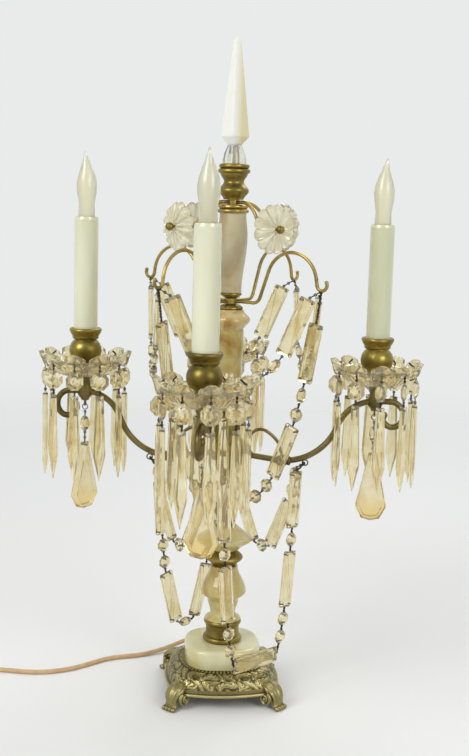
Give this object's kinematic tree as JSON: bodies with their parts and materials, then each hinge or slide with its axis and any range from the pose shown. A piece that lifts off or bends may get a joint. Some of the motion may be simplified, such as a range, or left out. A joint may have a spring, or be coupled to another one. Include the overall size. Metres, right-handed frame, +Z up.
{
  "type": "girandole candle holder",
  "caption": "Electrified girandole: brass and onyx column on a footed base, curved candle arms with glass bobeches, prism fringes, crystal swags and a spear finial",
  "frame": {"origin": "on the table, under the middle of the base", "axes": "+Z up the column, -Y to the front candle, +X to the right candle"},
  "size_m": [0.5633, 0.4126, 0.704],
  "materials": {
    "cast_brass": "aged cast",
    "old_brass": "aged satin",
    "onyx": "polished",
    "clear_crystal": "cut and polished",
    "tinted_crystal": "cut and polished",
    "milk_glass": "satin",
    "frosted_glass": "frosted",
    "lead_cover": "matte",
    "dark_plastic": "matte"
  },
  "bodies": {
    "stand": {"base_casting": "cast_brass", "base_nut": "old_brass", "lamp_pipe": "old_brass", "onyx_foot": "onyx", "foot_ring": "old_brass", "onyx_baluster": "onyx", "ball_knop": "old_brass", "onyx_saucer": "onyx", "bell_knop": "old_brass", "arm_hub": "old_brass", "threaded_rod": "old_brass", "onyx_shaft": "onyx", "onyx_ring": "onyx", "lower_collar": "old_brass", "onyx_vase": "onyx", "top_collar": "old_brass", "crown_cap": "old_brass", "finial_foot": "clear_crystal", "finial_spear": "clear_crystal", "arm_left": "old_brass", "arm_front": "old_brass", "arm_right": "old_brass", "arm_rear": "old_brass", "bobeche_left": "tinted_crystal", "bobeche_front": "tinted_crystal", "bobeche_right": "tinted_crystal", "bobeche_rear": "tinted_crystal", "candle_cups": "old_brass", "candle_sleeves": "milk_glass", "lampholders": "dark_plastic", "fringe_left": "tinted_crystal", "fringe_front": "tinted_crystal", "fringe_right": "tinted_crystal", "fringe_rear": "tinted_crystal", "hook_wires": "old_brass", "rosette_wires": "old_brass", "rosettes": "tinted_crystal", "rosette_nuts": "old_brass", "cord_bush": "dark_plastic", "cord_run": "lead_cover", "cord_coil": "lead_cover", "plug": "dark_plastic"},
    "bulb_left": {"bulb_left": "frosted_glass"},
    "pendalogue_left": {"pendalogue_left": "tinted_crystal"},
    "bulb_front": {"bulb_front": "frosted_glass"},
    "pendalogue_front": {"pendalogue_front": "tinted_crystal"},
    "bulb_right": {"bulb_right": "frosted_glass"},
    "pendalogue_right": {"pendalogue_right": "tinted_crystal"},
    "bulb_rear": {"bulb_rear": "frosted_glass"},
    "pendalogue_rear": {"pendalogue_rear": "tinted_crystal"},
    "upper_swag_rear": {"upper_swag_rear": "tinted_crystal"},
    "upper_swag_left": {"upper_swag_left": "tinted_crystal"},
    "upper_swag_front": {"upper_swag_front": "tinted_crystal"},
    "upper_swag_right": {"upper_swag_right": "tinted_crystal"},
    "lower_swag_left_front": {"lower_swag_left_front": "tinted_crystal"},
    "lower_swag_front_right": {"lower_swag_front_right": "tinted_crystal"},
    "lower_swag_right_rear": {"lower_swag_right_rear": "tinted_crystal"},
    "lower_swag_rear_left": {"lower_swag_rear_left": "tinted_crystal"},
    "long_strand_left": {"long_strand_left": "tinted_crystal"},
    "long_strand_right": {"long_strand_right": "tinted_crystal"}
  },
  "joints": [
    {"name": "bulb_left_screw", "type": "hinge", "parent": "stand", "child": "bulb_left", "pos_m": [-0.158, 0, 0.51602], "axis": [0, 0, 1], "continuous": true},
    {"name": "pendalogue_left_swing", "type": "hinge", "parent": "stand", "child": "pendalogue_left", "pos_m": [-0.158, 0, 0.31152], "axis": [-1, 0, 0], "range_deg": [-12, 12]},
    {"name": "bulb_front_screw", "type": "hinge", "parent": "stand", "child": "bulb_front", "pos_m": [0, -0.158, 0.51602], "axis": [0, 0, 1], "continuous": true},
    {"name": "pendalogue_front_swing", "type": "hinge", "parent": "stand", "child": "pendalogue_front", "pos_m": [0, -0.158, 0.31152], "axis": [0, -1, 0], "range_deg": [-12, 12]},
    {"name": "bulb_right_screw", "type": "hinge", "parent": "stand", "child": "bulb_right", "pos_m": [0.15605, 0.02472, 0.51602], "axis": [0, 0, 1], "continuous": true},
    {"name": "pendalogue_right_swing", "type": "hinge", "parent": "stand", "child": "pendalogue_right", "pos_m": [0.15605, 0.02472, 0.31152], "axis": [0.9877, 0.1564, 0], "range_deg": [-12, 12]},
    {"name": "bulb_rear_screw", "type": "hinge", "parent": "stand", "child": "bulb_rear", "pos_m": [-0.02502, 0.158, 0.51571], "axis": [0, 0, 1], "continuous": true},
    {"name": "pendalogue_rear_swing", "type": "hinge", "parent": "stand", "child": "pendalogue_rear", "pos_m": [-0.02502, 0.158, 0.31121], "axis": [-0.1564, 0.9877, 0], "range_deg": [-12, 12]},
    {"name": "upper_swag_rear_swing", "type": "hinge", "parent": "stand", "child": "upper_swag_rear", "pos_m": [0.05766, 0.09988, 0.45003], "axis": [0.9659, 0.2588, 0], "range_deg": [-8, 8]},
    {"name": "upper_swag_left_swing", "type": "hinge", "parent": "stand", "child": "upper_swag_left", "pos_m": [-0.09988, 0.05766, 0.45003], "axis": [-0.2588, 0.9659, 0], "range_deg": [-8, 8]},
    {"name": "upper_swag_front_swing", "type": "hinge", "parent": "stand", "child": "upper_swag_front", "pos_m": [-0.05766, -0.09988, 0.45003], "axis": [-0.9659, -0.2588, 0], "range_deg": [-8, 8]},
    {"name": "upper_swag_right_swing", "type": "hinge", "parent": "stand", "child": "upper_swag_right", "pos_m": [0.09988, -0.05766, 0.45003], "axis": [0.2588, -0.9659, 0], "range_deg": [-8, 8]},
    {"name": "lower_swag_left_front_swing", "type": "hinge", "parent": "stand", "child": "lower_swag_left_front", "pos_m": [-0.085, 0, 0.25841], "axis": [-0.7071, 0.7071, 0], "range_deg": [-2, 10]},
    {"name": "lower_swag_front_right_swing", "type": "hinge", "parent": "stand", "child": "lower_swag_front_right", "pos_m": [0, -0.085, 0.25841], "axis": [-0.6494, -0.7604, 0], "range_deg": [-0.5, 10]},
    {"name": "lower_swag_right_rear_swing", "type": "hinge", "parent": "stand", "child": "lower_swag_right_rear", "pos_m": [0.08395, 0.0133, 0.25841], "axis": [0.809, -0.5878, 0.0086], "range_deg": [-2, 10]},
    {"name": "lower_swag_rear_left_swing", "type": "hinge", "parent": "stand", "child": "lower_swag_rear_left", "pos_m": [-0.0133, 0.08395, 0.25738], "axis": [0.6494, 0.7604, -0.0094], "range_deg": [-2, 10]},
    {"name": "long_strand_left_swing", "type": "hinge", "parent": "stand", "child": "long_strand_left", "pos_m": [-0.05766, -0.09988, 0.45003], "axis": [-0.203, -0.3516, 0.9139], "range_deg": [-6, 6]},
    {"name": "long_strand_right_swing", "type": "hinge", "parent": "stand", "child": "long_strand_right", "pos_m": [0.09988, -0.05766, 0.45003], "axis": [0.3516, -0.203, 0.9139], "range_deg": [-6, 6]}
  ]
}
